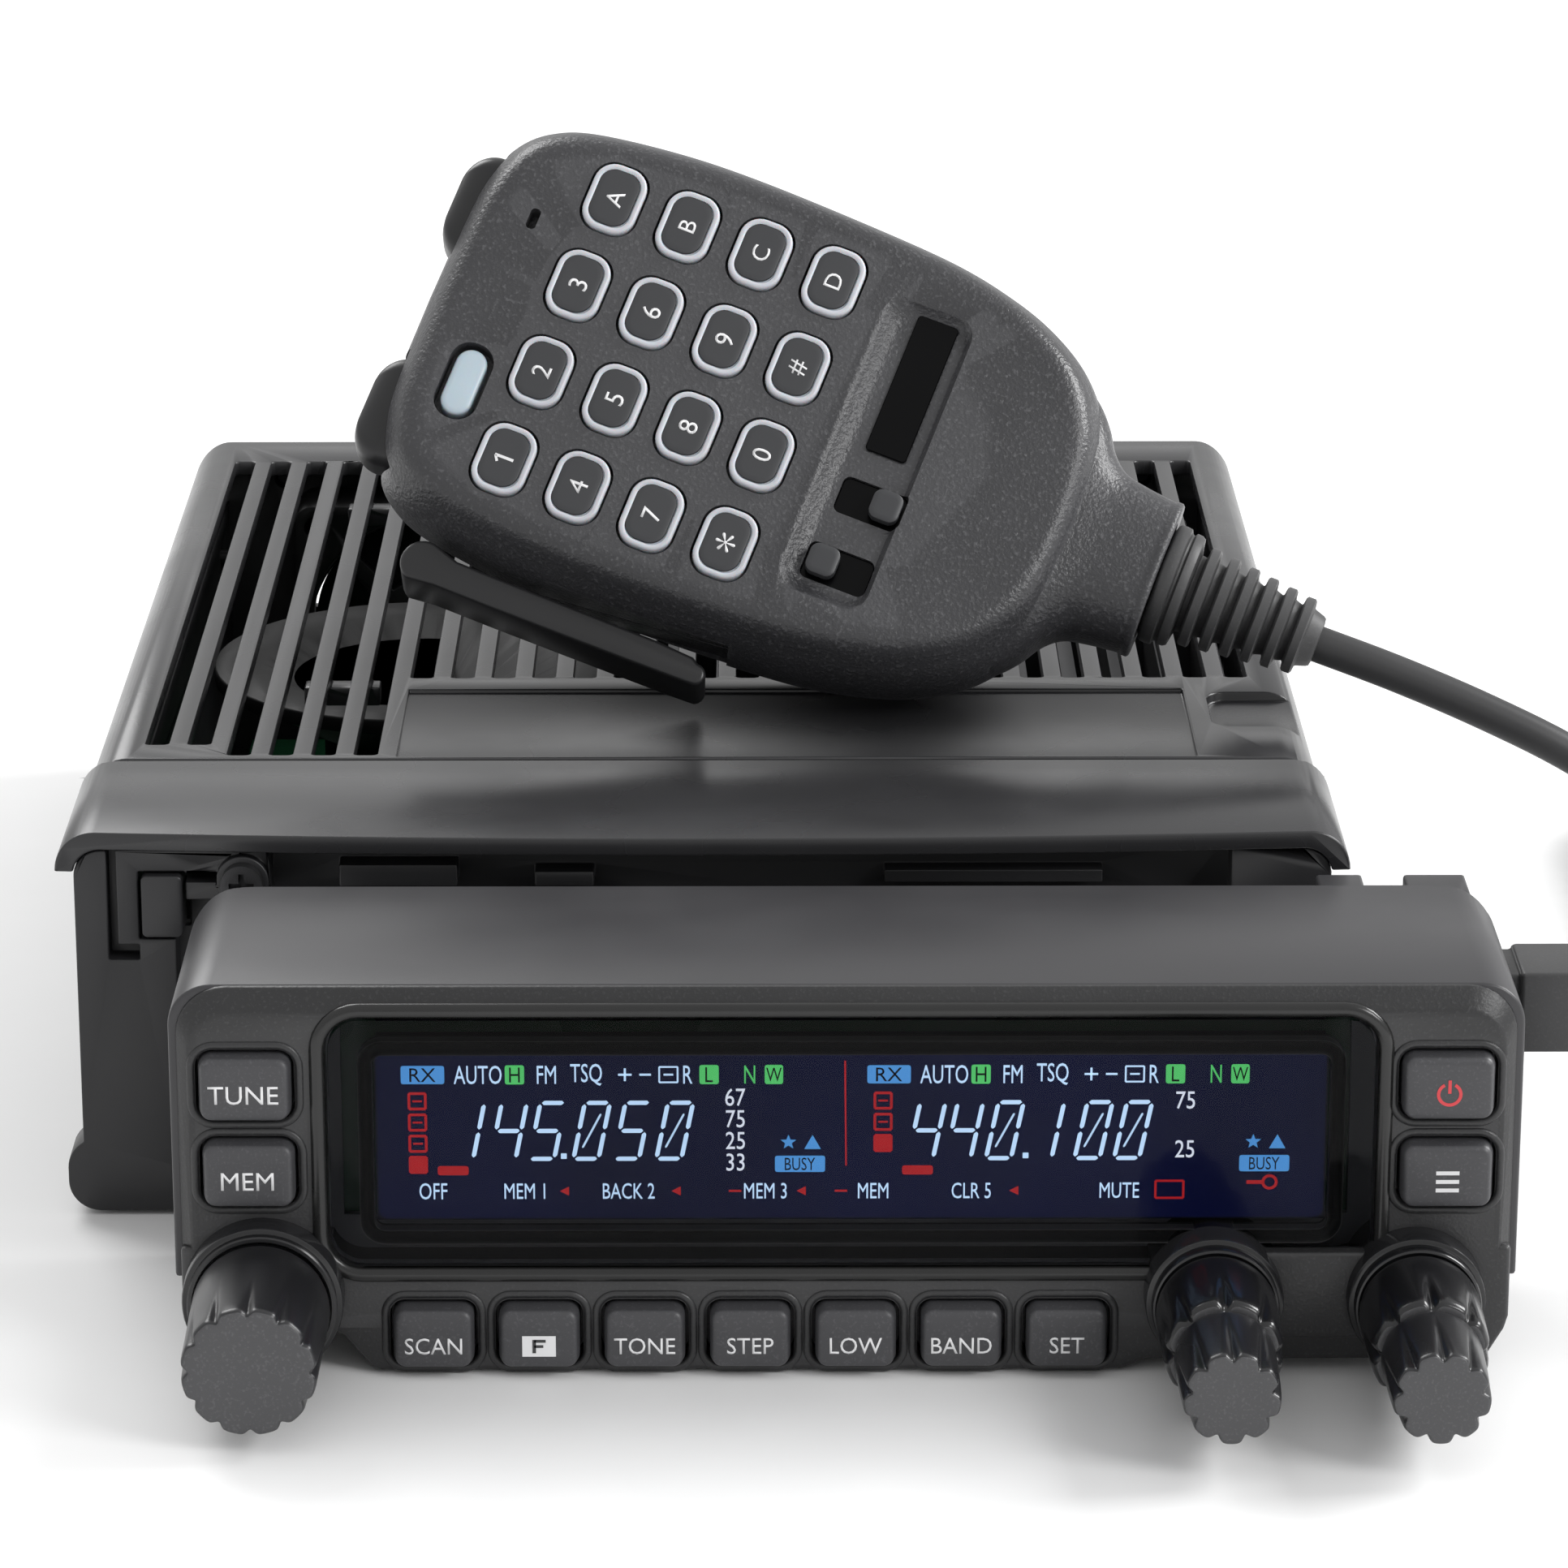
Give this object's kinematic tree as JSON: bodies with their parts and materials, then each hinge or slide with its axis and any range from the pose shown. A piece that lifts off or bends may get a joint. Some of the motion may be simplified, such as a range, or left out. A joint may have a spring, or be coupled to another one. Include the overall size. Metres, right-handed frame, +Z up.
{
  "type": "mobile transceiver",
  "caption": "Dual-band mobile radio: slotted cabinet, detached control head with display, keys and knobs, and a keypad hand microphone on a curly cord.",
  "frame": {"origin": "middle of the cabinet base", "axes": "+Z up, +Y to the back of the cabinet, +X to the right seen from the front"},
  "size_m": [0.2365, 0.2542, 0.1073],
  "materials": {
    "cover_paint": "satin dark grey paint",
    "cast_chassis": "black-grey painted die casting",
    "frame_plastic": "fine matte grey moulding",
    "dark_plastic": "matte black moulding",
    "shell_plastic": "satin dark grey paint on plastic",
    "bezel_plastic": "fine textured charcoal moulding",
    "window_gloss": "polished black acrylic",
    "display": "navy backlit display",
    "key_plastic": "satin grey key",
    "knob_plastic": "matte black knob",
    "ring_gloss": "glossy black ring",
    "mic_plastic": "coarse spark-eroded charcoal moulding",
    "mic_trim": "smooth black plastic",
    "silicone": "translucent grey silicone",
    "membrane": "grey silicone sheet",
    "lens": "frosted lamp lens",
    "cord_rubber": "matte black jacket",
    "boot_rubber": "soft black rubber",
    "board": "green solder mask",
    "tin_plate": "tinned steel",
    "heatsink_metal": "extruded aluminium",
    "nickel": "nickel plate",
    "screw_black": "black oxide"
  },
  "bodies": {
    "cabinet": {"main_chassis": "cast_chassis", "top_cover": "cover_paint", "front_frame": "frame_plastic", "rear_panel": "cast_chassis", "fan_frame": "dark_plastic", "antenna_socket": "nickel", "dc_inlet": "dark_plastic", "jack_sockets": "dark_plastic", "main_board": "board", "heatsink": "heatsink_metal", "speaker": "dark_plastic", "body_connector": "dark_plastic", "cabinet_screws": "screw_black"},
    "latch": {"release_latch": "frame_plastic"},
    "fan": {"fan_rotor": "dark_plastic"},
    "head": {"head_shell": "shell_plastic", "head_bezel": "bezel_plastic", "display_window": "window_gloss", "display_module": "display", "head_board": "board", "key_membrane": "membrane", "control_bodies": "tin_plate", "mic_jack": "dark_plastic", "head_screws": "screw_black", "cord_lead": "cord_rubber", "curly_cord": "cord_rubber", "plug_lead": "cord_rubber", "cord_plug": "boot_rubber"},
    "dial": {"main_dial": "knob_plastic", "dial_shaft": "nickel"},
    "volume_left": {"volume_knob_left": "knob_plastic", "volume_shaft_left": "nickel"},
    "volume_right": {"volume_knob_right": "knob_plastic", "volume_shaft_right": "nickel"},
    "squelch_left": {"squelch_ring_left": "ring_gloss"},
    "squelch_right": {"squelch_ring_right": "ring_gloss"},
    "mic": {"mic_front_shell": "mic_plastic", "mic_back_shell": "mic_plastic", "mic_keypad": "silicone", "mic_board": "board", "mic_boot": "boot_rubber", "lamp_lens": "lens", "hanger_stud": "nickel", "mic_screws": "screw_black"},
    "talk": {"talk_lever": "mic_trim"},
    "up": {"up_button": "mic_trim"},
    "down": {"down_button": "mic_trim"},
    "lock": {"lock_switch": "mic_trim"},
    "mode": {"mode_switch": "mic_trim"},
    "button_left_upper": {"key_left_upper": "key_plastic"},
    "button_left_lower": {"key_left_lower": "key_plastic"},
    "button_power": {"key_power": "key_plastic"},
    "button_menu": {"key_menu": "key_plastic"},
    "button_row_1": {"key_row_1": "key_plastic"},
    "button_row_2": {"key_row_2": "key_plastic"},
    "button_row_3": {"key_row_3": "key_plastic"},
    "button_row_4": {"key_row_4": "key_plastic"},
    "button_row_5": {"key_row_5": "key_plastic"},
    "button_row_6": {"key_row_6": "key_plastic"},
    "button_row_7": {"key_row_7": "key_plastic"}
  },
  "joints": [
    {"name": "head_draw", "type": "slide", "parent": "cabinet", "child": "head", "axis": [0, -1, 0], "range_m": [0, 0.03]},
    {"name": "mic_lift", "type": "slide", "parent": "head", "child": "mic", "axis": [0, 0, 1], "range_m": [0, 0.06]},
    {"name": "latch_press", "type": "slide", "parent": "cabinet", "child": "latch", "axis": [0, 1, 0], "range_m": [0, 0.0015], "stiffness_N_per_m": 250, "springref_m": -0.001},
    {"name": "fan_spin", "type": "hinge", "parent": "cabinet", "child": "fan", "pos_m": [-0.038, 0.075, 0.022], "axis": [0, 1, 0], "continuous": true},
    {"name": "left_upper_press", "type": "slide", "parent": "head", "child": "button_left_upper", "axis": [0, 1, 0], "range_m": [0, 0.0008], "stiffness_N_per_m": 300, "springref_m": -0.0005},
    {"name": "left_lower_press", "type": "slide", "parent": "head", "child": "button_left_lower", "axis": [0, 1, 0], "range_m": [0, 0.0008], "stiffness_N_per_m": 300, "springref_m": -0.0005},
    {"name": "power_press", "type": "slide", "parent": "head", "child": "button_power", "axis": [0, 1, 0], "range_m": [0, 0.0008], "stiffness_N_per_m": 300, "springref_m": -0.0005},
    {"name": "menu_press", "type": "slide", "parent": "head", "child": "button_menu", "axis": [0, 1, 0], "range_m": [0, 0.0008], "stiffness_N_per_m": 300, "springref_m": -0.0005},
    {"name": "row_1_press", "type": "slide", "parent": "head", "child": "button_row_1", "axis": [0, 1, 0], "range_m": [0, 0.0008], "stiffness_N_per_m": 300, "springref_m": -0.0005},
    {"name": "row_2_press", "type": "slide", "parent": "head", "child": "button_row_2", "axis": [0, 1, 0], "range_m": [0, 0.0008], "stiffness_N_per_m": 300, "springref_m": -0.0005},
    {"name": "row_3_press", "type": "slide", "parent": "head", "child": "button_row_3", "axis": [0, 1, 0], "range_m": [0, 0.0008], "stiffness_N_per_m": 300, "springref_m": -0.0005},
    {"name": "row_4_press", "type": "slide", "parent": "head", "child": "button_row_4", "axis": [0, 1, 0], "range_m": [0, 0.0008], "stiffness_N_per_m": 300, "springref_m": -0.0005},
    {"name": "row_5_press", "type": "slide", "parent": "head", "child": "button_row_5", "axis": [0, 1, 0], "range_m": [0, 0.0008], "stiffness_N_per_m": 300, "springref_m": -0.0005},
    {"name": "row_6_press", "type": "slide", "parent": "head", "child": "button_row_6", "axis": [0, 1, 0], "range_m": [0, 0.0008], "stiffness_N_per_m": 300, "springref_m": -0.0005},
    {"name": "row_7_press", "type": "slide", "parent": "head", "child": "button_row_7", "axis": [0, 1, 0], "range_m": [0, 0.0008], "stiffness_N_per_m": 300, "springref_m": -0.0005},
    {"name": "dial_turn", "type": "hinge", "parent": "head", "child": "dial", "pos_m": [-0.0454, -0.1362, 0.009], "axis": [0, 1, 0], "continuous": true},
    {"name": "volume_left_turn", "type": "hinge", "parent": "head", "child": "volume_left", "pos_m": [0.0534, -0.1462, 0.009], "axis": [0, 1, 0], "range_deg": [-140, 140]},
    {"name": "squelch_left_turn", "type": "hinge", "parent": "head", "child": "squelch_left", "pos_m": [0.0534, -0.1362, 0.009], "axis": [0, 1, 0], "range_deg": [-140, 140]},
    {"name": "volume_right_turn", "type": "hinge", "parent": "head", "child": "volume_right", "pos_m": [0.0744, -0.1462, 0.009], "axis": [0, 1, 0], "range_deg": [-140, 140]},
    {"name": "squelch_right_turn", "type": "hinge", "parent": "head", "child": "squelch_right", "pos_m": [0.0744, -0.1362, 0.009], "axis": [0, 1, 0], "range_deg": [-140, 140]},
    {"name": "talk_press", "type": "hinge", "parent": "mic", "child": "talk", "pos_m": [-0.03272, -0.03321, 0.06016], "axis": [0.0147, -0.8395, 0.5432], "range_deg": [0, 5], "stiffness_Nm_per_rad": 0.06, "springref_deg": -5.73},
    {"name": "up_press", "type": "slide", "parent": "mic", "child": "up", "axis": [0.93, -0.1882, -0.3159], "range_m": [0, 0.0008], "stiffness_N_per_m": 400, "springref_m": -0.0005},
    {"name": "down_press", "type": "slide", "parent": "mic", "child": "down", "axis": [0.93, -0.1882, -0.3159], "range_m": [0, 0.0008], "stiffness_N_per_m": 400, "springref_m": -0.0005},
    {"name": "lock_slide", "type": "slide", "parent": "mic", "child": "lock", "axis": [-0.93, 0.1882, 0.3159], "range_m": [0, 0.0036]},
    {"name": "mode_slide", "type": "slide", "parent": "mic", "child": "mode", "axis": [0.93, -0.1882, -0.3159], "range_m": [0, 0.0036]}
  ]
}
